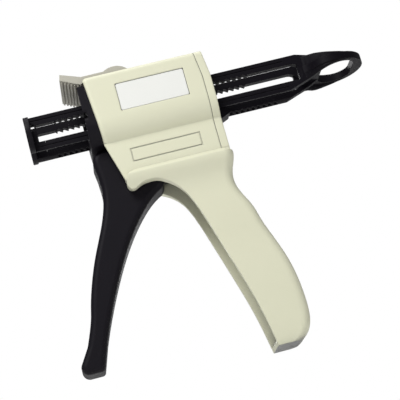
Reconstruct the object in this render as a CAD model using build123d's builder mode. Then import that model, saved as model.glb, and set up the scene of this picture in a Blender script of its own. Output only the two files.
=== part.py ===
"""Hand-held ratchet dispenser for side-by-side two-barrel cartridges.

Frame: +X runs along the push rods to the finger loop, the nose points to -X, +Z is up and the grip
hangs down. The origin is on the cartridge seat, midway between the two rods. Lengths are millimetres.
The rest pose has the plunger partly advanced, the trigger released and the clamp closed.
"""

import os
from math import atan2, cos, degrees, radians, sin

from build123d import *

# Cartridge and push rods
disc_diameter = 19.8
barrel_gap = 1.2
disc_thickness = 3.0
disc_front_x = -37.0
rod_inner_half = 6.0
rod_width = 4.4
rod_height = 19.3
rod_trim = 0.1
rod_groove_z = 7.4
rod_groove_width = 0.5
rod_groove_depth = 0.4
rod_end_x = 127.8
rod_top_taper_x = 115.5
rod_top_end_z = 6.7
rod_bottom_taper_x = 108.0
rod_bottom_bend_x = 121.0
rod_bottom_bend_z = -5.2
window_top_z = 4.9
window_bottom_z = -5.8
window_front_x = -31.2
window_rear_x = 117.0
window_step_x = -28.0
window_step = 1.1
neck_hole_rear_x = -32.0
neck_hole_bottom_z = 2.0
neck_hole_top_z = 5.6
tooth_pitch = 3.15
tooth_depth = 1.0
tooth_root_z = 5.2
tooth_land = 0.5
tooth_root = 1.0
drive_teeth_front_x = -20.0
drive_teeth_rear_x = 89.0
hold_tooth_depth = 1.1
hold_teeth_front_x = -24.0
hold_teeth_rear_x = 104.0
hold_teeth_width = 3.6

# Finger loop
loop_thickness = 4.0
loop_front_x = 112.0
loop_end_x = 152.5
loop_flare = 10.1
loop_hole_front_x = 128.0
loop_hole_length = 18.5
loop_hole_width = 31.0
loop_flare_x = 118.0

# Housing
body_top_z = 20.5
body_bend_z = -5.0
crease_z = -16.8
lower_half_width = 17.5
front_top_x = -1.7
front_crease_x = 1.6
panel_tip_x = 8.2
panel_tip_z = -43.0
rear_x = 66.0
rear_top_x = 64.2
rear_bend_z = 6.0
cap_thickness = 4.4
lip_z = -34.3
lip_half_width = 20.1
lip_front_x = 15.5
wall = 2.4
nose_wall = 1.4
nose_round = 2.2
nose_depth = 12.0
top_corner_radius = 2.5

# Grip
grip_bottom_z = -143.5
grip_wall = 2.6
grip_edge_radius = 5.0
channel_half_width = 12.2

# Label recess and framed panel on the left side
label_front_x = 14.9
label_rear_x = 52.5
label_bottom_z = -2.5
label_top_z = 12.9
label_recess = 0.8
label_thickness = 0.6
panel_front_x = 14.4
panel_rear_x = 52.8
panel_bottom_z = -30.0
panel_top_z = -22.4
panel_groove = 0.35
panel_groove_width = 0.6

# Trigger and drive pawl
trigger_half_width = 11.0
trigger_pin_x = 17.0
trigger_pin_z = -13.85
trigger_pin_diameter = 5.0
trigger_hub_radius = 3.9
trigger_front_radius = 3.0
trigger_rear_radius = 1.5
trigger_lean = 0.388
trigger_lean_z = -45.0
trigger_rim_top_z = -17.5
pawl_pin_x = 33.7
pawl_pin_z = 1.6
pawl_pin_diameter = 2.6
pawl_reach = 12.4
pawl_engage_angle = 9.0
pawl_wing_inset = 0.9
pawl_bar_height = 4.0
pawl_bar_overlap = 0.2
pawl_hub_radius = 3.2
pawl_wing_ahead = 1.6
pawl_wing_behind = 2.6
pawl_wing_bottom = -1.9
pawl_tip_rise = 1.4
pawl_tip_land = 0.4
pawl_tip_clearance = 0.45
fork_inner_half = 3.3
fork_arm_thickness = 2.3
fork_height = 6.8
spring_bay = 2.8
spring_wire_radius = 0.5
spring_turns = 2
spring_radius = 3.3
spring_pocket_radius = 5.2

# Release lever
release_pin_x = 36.0
release_pin_z = -17.4
release_pin_diameter = 3.0
release_half_width = 5.6
release_notch_z = -21.5
hold_reach = 14.0
hold_engage_angle = 5.0
release_hub_radius = 3.4
nib_ahead = 1.6
nib_behind = 2.4
nib_bottom = 5.0
nib_rise = 1.3
nib_land = 0.5

# Clamp latch
latch_half_width = 19.0
latch_plate_top_z = 22.6
latch_plate_thickness = 3.4
latch_pin_x = 20.5
latch_pin_z = 17.3
latch_pin_diameter = 3.0
latch_hub_radius = 4.2
latch_front_x = -2.0
tab_tip_x = -12.2
tab_tip_z = 26.5
tab_tip_thickness = 3.2
rib_count = 6
rib_height = 1.0
latch_opening_rear_x = 27.6
latch_back_x = 24.4
latch_bend_x = 11.0
latch_inner_x = 16.2
latch_hump_z = 24.2
latch_root_z = 18.3
rib_width = 0.9
rib_tilt = -24
lug_half_width = 14.0
lug_x = -1.6
lug_thickness = 2.2

# Cartridge yoke
yoke_front_x = -5.2
flange_slot = 3.2
yoke_plate = 3.0
yoke_rear_x = 11.6
yoke_wall = 2.2
yoke_skin = 0.8
yoke_top_z = 16.5
yoke_bottom_z = -16.4
flange_bottom_z = -13.4
saddle_radius = 11.0
saddle_top_z = -3.0

# Guide block
guide_front_x = 54.4
guide_rear_x = 60.0
guide_bottom_z = -12.0

# Screws
screw_places = [(42.0, 13.9, 23.0), (56.5, -28.0, 17.5), (71.5, -88.0, 14.5), (75.0, -134.0, 14.5)]
screw_head_diameter = 5.6
screw_shank_diameter = 3.0
screw_reach = 8.0
screw_head_height = 2.0
screw_recess = 2.4
cross_length = 3.08
cross_width = 0.8
cross_depth = 0.8
boss_radius = 3.8

# Pins' half lengths and the chamfer on turned edges
pin_half_length = 15.6
latch_pin_half_length = 21.8
edge_break = 0.4

# Leaf springs: half width, thickness and the points of the upper side
pawl_leaf = (2.2, 0.6, [(19.5, -9.2), (23.6, -3.2), (28.6, -1.7)])
release_leaf = (3.0, 0.5, [(59.0, -23.5), (54.0, -23.5), (44.0, -21.4)])
latch_leaf_z = 12.3
latch_leaf_length = 6.0
latch_leaf_thickness = 0.6

# Clearances
slide_clearance = 0.3
seat_clearance = 0.25
pin_clearance = 0.03
side_clearance = 0.4
mesh_clearance = 0.3
passage_clearance = 0.2
yoke_clearance = 0.2
seam_gap = 0.2
tooth_clearance = 0.25

barrel_y = (disc_diameter + barrel_gap) / 2
rod_y = rod_inner_half + rod_width / 2
rod_outer_half = rod_inner_half + rod_width
passage_radius = disc_diameter / 2 + passage_clearance
body_half_width = barrel_y + passage_radius + yoke_skin + yoke_clearance + nose_wall
loop_width = 2 * (rod_outer_half + loop_flare)
trigger_hub_end_y = trigger_half_width - spring_bay
rod_half = rod_height / 2
window_half = (window_top_z - window_bottom_z) / 2
window_middle_z = (window_top_z + window_bottom_z) / 2
rod_front_x = disc_front_x + disc_thickness
inner_side = body_half_width - wall
panel_inner = lower_half_width - wall
seam_x = rear_x - cap_thickness
rod_passage_half = rod_outer_half + slide_clearance
pawl_half_span = rod_outer_half - pawl_wing_inset
hold_half_span = rod_inner_half + hold_teeth_width - pin_clearance
pawl_tip_height = tooth_root_z - pawl_tip_clearance - pawl_pin_z
pawl_wing_top = pawl_tip_height - pawl_tip_rise
pawl_bar_length = pawl_reach - pawl_wing_behind + pawl_bar_overlap
nib_height = hold_tooth_depth - rod_half - tooth_clearance - release_pin_z
nib_shoulder = nib_height - nib_rise
lug_bottom_z = yoke_top_z + mesh_clearance
drive_face_x = pawl_pin_x - pawl_reach - mesh_clearance
hold_face_x = release_pin_x + hold_reach - mesh_clearance
screw_bore = screw_shank_diameter / 2 + pin_clearance
screw_head_bore = screw_head_diameter / 2 + seat_clearance
label_centre = ((label_front_x + label_rear_x) / 2, (label_bottom_z + label_top_z) / 2)
panel_length = panel_rear_x - panel_front_x
panel_height = panel_top_z - panel_bottom_z
panel_centre = ((panel_front_x + panel_rear_x) / 2, (panel_bottom_z + panel_top_z) / 2)
pins = [
    (trigger_pin_x, trigger_pin_z, trigger_pin_diameter, pin_half_length),
    (release_pin_x, release_pin_z, release_pin_diameter, pin_half_length),
    (latch_pin_x, latch_pin_z, latch_pin_diameter, latch_pin_half_length),
]

os.makedirs("parts", exist_ok=True)


def finish(part, name):
    """Label a finished piece and write it."""
    part.label = name
    export_step(part, f"parts/{name}.step")


def body_outline(inset, bottom_z, side_inset=None):
    """Closed outline of the upper body's cross-section, drawn inset from the outer skin."""
    side = body_half_width - (inset if side_inset is None else side_inset)
    low = lower_half_width - inset
    top = body_top_z - inset
    feet = [(low, bottom_z)] if bottom_z < crease_z else []
    with BuildLine() as line:
        Polyline((0, top), (side, top), (side, body_bend_z))
        TangentArc((side, body_bend_z), (low, crease_z), tangent=(0, -1))
        Polyline((low, crease_z), *feet, (0, min(bottom_z, crease_z)))
        mirror(about=Plane.YZ)
    return line.edges()


def rear_line(offset_x):
    """Points of the housing's rear edge in the side view, moved forward by offset_x."""
    return [
        (rear_top_x - offset_x, body_top_z + 1),
        (rear_x - offset_x, rear_bend_z),
        (rear_x - offset_x, lip_z),
    ]


def side_face():
    """Side view of the upper body down to the lip."""
    front = [(front_top_x, body_top_z + 1), (front_crease_x, crease_z)]
    with BuildLine() as line:
        Polyline(front[0], *rear_line(0), (front_crease_x, lip_z), front[1], close=True)
    return line.edges()


# Grip sections from the lip down: height, rear edge and half width
grip_levels = [
    (-36.4, 67.3, 20.1),
    (-40.5, 66.9, 18.9),
    (-45.0, 65.3, 16.6),
    (-51.0, 64.4, 14.9),
    (-59.0, 66.6, 14.5),
    (-73.5, 72.2, 14.5),
    (-97.5, 80.2, 14.5),
    (-119.0, 83.6, 14.5),
    (-133.0, 83.1, 14.5),
    (-139.0, 80.8, 14.4),
    (-143.5, 75.5, 13.4),
]
grip_section_front_x = -10.0


def grip_section(z, rear, half, radius):
    """Rounded section of the grip at one height, longer at the front than the grip is."""
    with BuildSketch(Plane.XY.offset(z)) as section:
        with Locations(((grip_section_front_x + rear) / 2, 0)):
            RectangleRounded(rear - grip_section_front_x, 2 * half, radius)
    return section.sketch


def front_face():
    """Side view of what lies in front of the grip and below the arch, cut off the grip."""
    heel = (62.8, grip_bottom_z - 1)
    throat = (41.6, -62.0)
    crown = (19.5, -41.6)
    tip = (panel_tip_x - 0.2, -41.0)
    far = grip_section_front_x - 2
    with BuildLine() as line:
        Spline(heel, (58.2, -119.3), (48.2, -83.6), throat, tangents=[(-0.15, 1), (-0.35, 1)])
        Spline(throat, (35.1, -49.3), (27.0, -42.9), crown, tangents=[(-0.35, 1), (-1, -0.1)])
        Spline(crown, (10.6, -44.2), tip, tangents=[(-1, -0.1), (0, 1)])
        Spline(tip, (lip_front_x, lip_z), tangents=[(0.1, 1), (1, 0)])
        Polyline((lip_front_x, lip_z), (lip_front_x, lip_z + 2), (far, lip_z + 2))
        Polyline((far, lip_z + 2), (far, grip_bottom_z - 1), heel)
    return line.edges()


def rear_strip(gap=0):
    """Side view of the strip at the rear that the cap takes, less a gap at its seam."""
    back = rear_line(cap_thickness - gap)
    with BuildLine() as line:
        Polyline(*back, (rear_x + 2, lip_z), (rear_x + 2, back[0][1]), close=True)
    return line.edges()


def tooth_points(steep_x, root_z, tip_z):
    """Points of one tooth gap, from the steep face to the next tooth's land."""
    slope = tooth_pitch - tooth_root - tooth_land
    return [
        (steep_x, tip_z),
        (steep_x, root_z),
        (steep_x + tooth_root, root_z),
        (steep_x + tooth_root + slope, tip_z),
    ]


def window_outline():
    """Outline of the rods' windows, with the drive teeth along the top edge."""
    first = drive_face_x - tooth_pitch * int((drive_face_x - drive_teeth_front_x) / tooth_pitch)
    count = int((drive_teeth_rear_x - first) / tooth_pitch)
    arc_x = window_rear_x - window_half
    tip_z = tooth_root_z - tooth_depth
    teeth = []
    for index in range(count):
        teeth += tooth_points(first + index * tooth_pitch, tooth_root_z, tip_z)
    end_x = first + count * tooth_pitch
    with BuildLine() as line:
        Polyline(
            (arc_x, window_bottom_z),
            (window_step_x, window_bottom_z),
            (window_step_x, window_bottom_z + window_step),
            (window_front_x, window_bottom_z + window_step),
            (window_front_x, window_top_z),
            (first - 2 * tooth_land, window_top_z),
            (first - tooth_land, tip_z),
            *teeth,
            (end_x, tip_z),
            (end_x, window_top_z),
            (arc_x, window_top_z),
        )
        ThreePointArc((arc_x, window_top_z), (window_rear_x, window_middle_z), (arc_x, window_bottom_z))
    return line.edges()


def hold_teeth():
    """Outline of the notches cut up into the rods' lower edges."""
    first = hold_face_x - tooth_pitch * int((hold_face_x - hold_teeth_front_x) / tooth_pitch)
    count = int((hold_teeth_rear_x - first) / tooth_pitch)
    notches = []
    for index in range(count):
        notches += tooth_points(first + index * tooth_pitch, hold_tooth_depth - rod_half, -rod_half)
    with BuildLine() as line:
        Polyline((first, -rod_half - 1), *notches, (notches[-1][0], -rod_half - 1), close=True)
    return line.edges()


def loop_outline():
    """Plan view of the plate that joins the rods and carries the finger loop."""
    half = rod_outer_half
    wide_x = loop_end_x - 18.5
    with BuildLine() as line:
        Polyline((loop_front_x, 0), (loop_front_x, half), (loop_flare_x, half))
        Spline((loop_flare_x, half), (124.8, 17.0), (wide_x, loop_width / 2), tangents=[(1, 0.3), (1, 0)])
        EllipticalCenterArc((wide_x, 0), loop_end_x - wide_x, loop_width / 2, start_angle=0, arc_size=90)
        mirror(about=Plane.XZ)
    return line.edges()


# Release lever's side view from under its pin round the wedge and back over the bar
release_wedge = [
    (60.0, -18.4),
    (67.8, -14.6),
    (73.0, -12.4),
    (73.4, -11.2),
    (68.9, -7.3),
    (67.6, -7.8),
    (67.0, -12.8),
    (62.0, -14.8),
    (54.4, -14.8),
    (53.0, -13.2),
    (48.5, -12.8),
]

# Corners of the trigger's side view that are rounded: place and radius
trigger_corners = [
    ((-7.2, -17.3), 6.5),
    ((-33.0, -118.6), 8.0),
    ((-42.0, -133.0), 4.0),
    ((-27.2, -133.0), 2.0),
]


def trigger_outline():
    """Side view of the trigger with sharp corners, from its pin round the toe and up the back."""
    brow, knee, toe, heel = [place for place, radius in trigger_corners]
    pin_place = (trigger_pin_x, trigger_pin_z)
    with BuildLine() as line:
        Polyline(pin_place, (11.0, -16.9), brow, (-5.6, -30.0))
        Spline((-5.6, -30.0), (-5.4, -40.0), (-9.6, -55.8), (-18.5, -75.3), (-26.2, -98.0), knee,
               tangents=[(0.05, -1), (-0.42, -1)])
        Polyline(knee, toe, heel, (-22.4, -118.9))
        Spline((-22.4, -118.9), (-11.3, -93.8), (2.4, -69.6), (14.6, -54.2), (26.5, -45.0),
               tangents=[(0.38, 1), (1, 0.5)])
        hub_back = (trigger_pin_x + trigger_hub_radius, trigger_pin_z)
        Polyline((26.5, -45.0), (28.6, -42.0), (23.6, -20.0), hub_back, pin_place)
    return line.edges()


def in_front(edge):
    """True for an edge on the front of the trigger, ahead of its middle line."""
    middle = edge.center()
    return middle.X < trigger_lean * (middle.Z - trigger_lean_z)


def trigger_rims(part, forward):
    """Edges where the trigger's front or back meets its sides."""
    rims = part.edges().filter_by(lambda e: abs(e.center().Y) > trigger_half_width - 0.1)
    return rims.filter_by(lambda e: e.center().Z < trigger_rim_top_z and in_front(e) == forward)


# Outer form of both shells together, cut in two at the mid-plane further on
with BuildPart() as upper_body:
    with BuildSketch(Plane.YZ.offset(-4)):
        make_face(body_outline(0, crease_z))
    extrude(amount=rear_x + 6)
    fillet(upper_body.edges().filter_by(Axis.X).group_by(Axis.Z)[-1], radius=top_corner_radius)
    with BuildSketch(Plane.XZ):
        make_face(side_face())
    extrude(amount=body_half_width + 1, both=True, mode=Mode.INTERSECT)
    # The sides round inwards at the nose
    front = upper_body.faces().sort_by(Axis.X)[0]
    fillet(front.edges().filter_by(lambda e: abs(e.center().Y) > lower_half_width), radius=nose_round)

with BuildPart() as panel_body:
    with BuildSketch(Plane.XZ):
        with BuildLine():
            Polyline(
                (front_crease_x, crease_z),
                (panel_tip_x, panel_tip_z + 3),
                (panel_tip_x + 8, lip_z - 2),
                (rear_x, lip_z - 2),
                (rear_x, crease_z),
                close=True,
            )
        make_face()
    extrude(amount=lower_half_width, both=True)

with BuildPart() as grip_body:
    loft([grip_section(*level, grip_edge_radius) for level in grip_levels])
    lip_top = grip_section(lip_z, grip_levels[0][1] - 1.8, grip_levels[0][2] - 1.8, grip_edge_radius)
    loft([lip_top, grip_section(*grip_levels[0], grip_edge_radius)])
    with BuildSketch(Plane.XZ):
        make_face(front_face())
    extrude(amount=lip_half_width + 1, both=True, mode=Mode.SUBTRACT)

# Hollow inside both shells: nose, body, trigger bay and the grip's open channel
with BuildPart() as hollow:
    with BuildSketch(Plane.YZ.offset(-8)):
        make_face(body_outline(wall, crease_z, side_inset=nose_wall))
    extrude(amount=8 + nose_depth)
    with BuildSketch(Plane.YZ.offset(nose_depth)):
        make_face(body_outline(wall, crease_z))
    extrude(amount=seam_x - nose_depth + 4)
    with BuildSketch(Plane.XZ):
        with BuildLine():
            Polyline((-8, crease_z + 1), (seam_x + 1, crease_z + 1), (seam_x + 1, lip_z), (60, lip_z),
                     (60, lip_z - 4), (-8, lip_z - 4), close=True)
        make_face()
    extrude(amount=panel_inner, both=True)

with BuildPart() as channel:
    levels = [(z, rear - grip_wall, channel_half_width, grip_edge_radius - grip_wall)
              for z, rear, half in grip_levels[:-1]]
    levels.append((grip_bottom_z + grip_wall, grip_levels[-1][1] - 1, channel_half_width, 2.4))
    loft([grip_section(*level) for level in levels])
    with BuildSketch(Plane.XY.offset(grip_levels[0][0])):
        with Locations(((60 + grip_section_front_x) / 2, 0)):
            Rectangle(60 - grip_section_front_x, 2 * channel_half_width)
    extrude(amount=4)

# Both shells in one solid block, without the strip that the rear cap takes
with BuildPart() as outer_form:
    add(upper_body.part)
    add(panel_body.part)
    with BuildSketch(Plane.XZ):
        make_face(rear_strip())
    extrude(amount=body_half_width + 1, both=True, mode=Mode.SUBTRACT)
    add(grip_body.part)

# Bosses that carry the pins and screws, trimmed to the outer form
pin_bosses = [
    (trigger_pin_x, trigger_pin_z, trigger_hub_radius, trigger_half_width + side_clearance),
    (release_pin_x, release_pin_z, release_pin_diameter, release_half_width + side_clearance),
    (latch_pin_x, latch_pin_z, latch_pin_diameter, latch_half_width + side_clearance),
]
with BuildPart() as bosses:
    for x, z, radius, inner in pin_bosses + [(x, z, boss_radius, 0) for x, z, face_y in screw_places]:
        for side in (-1, 1):
            with Locations((x, side * (inner + body_half_width) / 2, z)):
                Cylinder(radius, body_half_width - inner, rotation=(90, 0, 0))
    add(outer_form.part, mode=Mode.INTERSECT)

# Both shells in one piece, hollow and bossed, with the bores that both share
with BuildPart() as shell_form:
    add(outer_form.part)
    add(hollow.part, mode=Mode.SUBTRACT)
    add(channel.part, mode=Mode.SUBTRACT)
    with BuildSketch(Plane.XY.offset(body_top_z - wall - 1)):
        with Locations(((latch_opening_rear_x - 8) / 2, 0)):
            Rectangle(latch_opening_rear_x + 8, 2 * (latch_half_width + slide_clearance))
    extrude(amount=wall + 3, mode=Mode.SUBTRACT)
    add(bosses.part)
    for x, z, diameter, half_length in pins:
        with Locations((x, 0, z)):
            Cylinder(diameter / 2 + pin_clearance, 2 * (half_length + seat_clearance), rotation=(90, 0, 0),
                     mode=Mode.SUBTRACT)

with BuildPart() as left_shell:
    add(shell_form.part)
    split(bisect_by=Plane.XZ, keep=Keep.TOP)
    # Recess for the label plate
    with BuildSketch(Plane.XZ.offset(body_half_width)):
        with Locations(label_centre):
            Rectangle(label_rear_x - label_front_x, label_top_z - label_bottom_z)
    extrude(amount=-label_recess, mode=Mode.SUBTRACT)
    # Line that frames the lower panel
    with BuildSketch(Plane.XZ.offset(lower_half_width)):
        with Locations(panel_centre):
            Rectangle(panel_length, panel_height)
            Rectangle(panel_length - 2 * panel_groove_width, panel_height - 2 * panel_groove_width,
                      mode=Mode.SUBTRACT)
    extrude(amount=-panel_groove, mode=Mode.SUBTRACT)
    for x, z, face_y in screw_places:
        with Locations((x, -screw_reach / 2, z)):
            Cylinder(screw_bore, screw_reach + 2 * seat_clearance, rotation=(90, 0, 0),
                     mode=Mode.SUBTRACT)
finish(left_shell.part, "left_shell")

with BuildPart() as right_shell:
    add(shell_form.part)
    split(bisect_by=Plane.XZ, keep=Keep.BOTTOM)
    for x, z, face_y in screw_places:
        with Locations((x, face_y / 2, z)):
            Cylinder(screw_bore, face_y, rotation=(90, 0, 0), mode=Mode.SUBTRACT)
        with Locations((x, face_y - screw_recess / 2, z)):
            Cylinder(screw_head_bore, screw_recess, rotation=(90, 0, 0), mode=Mode.SUBTRACT)
finish(right_shell.part, "right_shell")

with BuildPart() as rear_cap:
    add(upper_body.part)
    add(panel_body.part)
    with BuildSketch(Plane.XZ):
        make_face(rear_strip(seam_gap))
    extrude(amount=body_half_width + 1, both=True, mode=Mode.INTERSECT)
    with BuildSketch(Plane.YZ.offset(seam_x - 4)):
        Rectangle(2 * rod_passage_half, 2 * (rod_half + slide_clearance))
        with Locations((0, release_notch_z / 2)):
            Rectangle(2 * (release_half_width + side_clearance), -release_notch_z)
    extrude(amount=cap_thickness + 8, mode=Mode.SUBTRACT)
finish(rear_cap.part, "rear_cap")

with BuildPart() as label_plate:
    with BuildSketch(Plane.XZ.offset(body_half_width - label_recess)):
        with Locations(label_centre):
            Rectangle(label_rear_x - label_front_x - 0.4, label_top_z - label_bottom_z - 0.4)
    extrude(amount=label_thickness)
finish(label_plate.part, "label_plate")

with BuildPart() as housing_screws:
    for x, z, face_y in screw_places:
        head_y = face_y - screw_recess
        with Locations((x, head_y + screw_head_height / 2, z)):
            Cylinder(screw_head_diameter / 2, screw_head_height, rotation=(90, 0, 0))
        with Locations((x, (head_y - screw_reach) / 2, z)):
            Cylinder(screw_shank_diameter / 2, head_y + screw_reach, rotation=(90, 0, 0))
        # Cross recess in the head
        with Locations((x, head_y + screw_head_height, z)):
            Box(cross_length, 2 * cross_depth, cross_width, mode=Mode.SUBTRACT)
            Box(cross_width, 2 * cross_depth, cross_length, mode=Mode.SUBTRACT)
finish(housing_screws.part, "housing_screws")

# Yoke in the open nose: a plate with two passages, the flange slot and the saddles in front of it
with BuildPart() as cartridge_yoke:
    with BuildSketch(Plane.YZ.offset(yoke_front_x)):
        make_face(body_outline(wall + seat_clearance, crease_z, side_inset=nose_wall + yoke_clearance))
    extrude(amount=yoke_rear_x - yoke_front_x)
    with BuildSketch(Plane.XZ):
        with Locations((0, yoke_top_z + 10), (0, yoke_bottom_z - 10)):
            Rectangle(60, 20)
    extrude(amount=body_half_width, both=True, mode=Mode.SUBTRACT)
    with BuildSketch(Plane.YZ.offset(yoke_front_x)):
        with Locations((-barrel_y, 0), (barrel_y, 0)):
            Circle(passage_radius)
    extrude(amount=yoke_rear_x - yoke_front_x, mode=Mode.SUBTRACT)
    # Flange slot in front of the seat, and the bay behind the plate
    skin = wall + seat_clearance + yoke_wall
    slot_half = body_half_width - skin
    for x, length, bottom in [(-flange_slot, flange_slot, flange_bottom_z),
                              (yoke_plate, yoke_rear_x - yoke_plate, yoke_bottom_z + 2)]:
        with BuildSketch(Plane.YZ.offset(x)):
            make_face(body_outline(skin, crease_z))
            with Locations((0, yoke_top_z)):
                Rectangle(2 * slot_half, 8)
            with Locations((0, bottom - 10)):
                Rectangle(2 * body_half_width, 20, mode=Mode.SUBTRACT)
        extrude(amount=length, mode=Mode.SUBTRACT)
    # Front lip with a saddle for each barrel
    with BuildSketch(Plane.YZ.offset(yoke_front_x)):
        with Locations((0, (saddle_top_z + yoke_top_z + 2) / 2)):
            Rectangle(2 * slot_half, yoke_top_z + 2 - saddle_top_z)
        with Locations((-barrel_y, 0), (barrel_y, 0)):
            Circle(saddle_radius)
    extrude(amount=-yoke_front_x - flange_slot, mode=Mode.SUBTRACT)
finish(cartridge_yoke.part, "cartridge_yoke")

# Guide that the rods slide in, just inside the rear cap
with BuildPart() as plunger_guide:
    with BuildSketch(Plane.YZ.offset(guide_front_x)):
        make_face(body_outline(wall + seat_clearance, crease_z))
        Rectangle(2 * rod_passage_half, 2 * (rod_half + slide_clearance), mode=Mode.SUBTRACT)
        with Locations((0, guide_bottom_z - 5)):
            Rectangle(2 * body_half_width, 10, mode=Mode.SUBTRACT)
    extrude(amount=guide_rear_x - guide_front_x)
finish(plunger_guide.part, "plunger_guide")

for (x, z, diameter, half_length), name in zip(pins, ["trigger_pin", "release_pin", "latch_pin"]):
    with BuildPart() as pin:
        with Locations((x, 0, z)):
            Cylinder(diameter / 2, 2 * half_length, rotation=(90, 0, 0))
        chamfer(pin.edges().filter_by(GeomType.CIRCLE), length=edge_break)
    finish(pin.part, name)

# Toothed twin-rod plunger with its windows, holding teeth and finger loop
with BuildPart() as plunger_frame:
    for side in (-1, 1):
        with BuildSketch(Plane.XZ.offset(side * rod_y)):
            with BuildLine():
                Polyline(
                    (rod_front_x, -rod_half),
                    (rod_bottom_taper_x, -rod_half),
                    (rod_bottom_bend_x, rod_bottom_bend_z),
                    (rod_end_x, -loop_thickness / 2),
                    (rod_end_x, loop_thickness / 2),
                    (rod_end_x - loop_thickness / 2, rod_top_end_z),
                    (rod_top_taper_x, rod_half),
                    (rod_front_x, rod_half),
                    close=True,
                )
            make_face()
        extrude(amount=rod_width / 2, both=True)
    # The rods' inner corners are trimmed, so that they pass through the barrels
    with BuildSketch(Plane.YZ.offset(rod_front_x)):
        with Locations((-barrel_y, 0), (barrel_y, 0)):
            Circle(disc_diameter / 2 - rod_trim)
    extrude(amount=rod_end_x - rod_front_x, mode=Mode.INTERSECT)
    with BuildSketch():
        make_face(loop_outline())
        with Locations((loop_hole_front_x + loop_hole_length / 2, 0)):
            RectangleRounded(loop_hole_length, loop_hole_width, loop_hole_length / 2 - 0.6,
                             mode=Mode.SUBTRACT)
    extrude(amount=loop_thickness / 2, both=True)
    with BuildSketch(Plane.XZ):
        make_face(window_outline())
        with Locations(((rod_front_x + neck_hole_rear_x) / 2, (neck_hole_bottom_z + neck_hole_top_z) / 2)):
            Rectangle(neck_hole_rear_x - rod_front_x, neck_hole_top_z - neck_hole_bottom_z)
    extrude(amount=loop_width / 2, both=True, mode=Mode.SUBTRACT)
    for side in (-1, 1):
        with BuildSketch(Plane.XZ.offset(side * (rod_inner_half + hold_teeth_width / 2))):
            make_face(hold_teeth())
        extrude(amount=hold_teeth_width / 2, both=True, mode=Mode.SUBTRACT)
    # Long grooves in the rods' outer sides, above and below the windows
    for side in (-1, 1):
        groove_y = side * rod_outer_half
        for z in (-rod_groove_z, rod_groove_z):
            with Locations(((rod_front_x + rod_bottom_taper_x) / 2, groove_y, z)):
                Box(rod_bottom_taper_x - rod_front_x, 2 * rod_groove_depth, rod_groove_width,
                    mode=Mode.SUBTRACT)
finish(plunger_frame.part, "plunger_frame")

for side, name in [(-1, "left_disc"), (1, "right_disc")]:
    with BuildPart() as disc:
        with BuildSketch(Plane.YZ.offset(disc_front_x)):
            with Locations((side * barrel_y, 0)):
                Circle(disc_diameter / 2)
        extrude(amount=disc_thickness)
        chamfer(disc.edges().filter_by(GeomType.CIRCLE), length=edge_break)
    finish(disc.part, name)

with BuildPart() as trigger:
    with BuildSketch(Plane.XZ) as side_view:
        make_face(trigger_outline())
        for (x, z), radius in trigger_corners:
            fillet(side_view.vertices().sort_by_distance((x, z, 0))[0], radius=radius)
    extrude(amount=trigger_half_width, both=True)
    fillet(trigger_rims(trigger, True), radius=trigger_front_radius)
    fillet(trigger_rims(trigger, False), radius=trigger_rear_radius)
    hub_place = (trigger_pin_x, 0, trigger_pin_z)
    with Locations(hub_place):
        Cylinder(trigger_hub_radius, 2 * trigger_half_width, rotation=(90, 0, 0))
    fork_angle = degrees(atan2(pawl_pin_z - trigger_pin_z, pawl_pin_x - trigger_pin_x))
    fork_length = ((pawl_pin_z - trigger_pin_z) ** 2 + (pawl_pin_x - trigger_pin_x) ** 2) ** 0.5
    for side in (-1, 1):
        with BuildSketch(Plane.XZ.offset(side * (fork_inner_half + fork_arm_thickness / 2))):
            with Locations(((trigger_pin_x + pawl_pin_x) / 2, (trigger_pin_z + pawl_pin_z) / 2)):
                SlotCenterToCenter(fork_length, fork_height, rotation=fork_angle)
        extrude(amount=fork_arm_thickness / 2, both=True)
    with Locations(hub_place):
        Cylinder(trigger_pin_diameter / 2 + pin_clearance, 2 * trigger_half_width + 2, rotation=(90, 0, 0),
                 mode=Mode.SUBTRACT)
    with Locations((pawl_pin_x, 0, pawl_pin_z)):
        Cylinder(pawl_pin_diameter / 2 + pin_clearance, 2 * trigger_half_width, rotation=(90, 0, 0),
                 mode=Mode.SUBTRACT)
    # Pocket for the return spring
    with Locations((trigger_pin_x, (trigger_hub_end_y + trigger_half_width + 1) / 2, trigger_pin_z)):
        Cylinder(spring_pocket_radius, trigger_half_width + 1 - trigger_hub_end_y, rotation=(90, 0, 0),
                 mode=Mode.SUBTRACT)
finish(trigger.part, "trigger")

with BuildPart() as pawl_pin:
    with Locations((pawl_pin_x, 0, pawl_pin_z)):
        Cylinder(pawl_pin_diameter / 2, 2 * (fork_inner_half + fork_arm_thickness), rotation=(90, 0, 0))
finish(pawl_pin.part, "pawl_pin")

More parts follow.
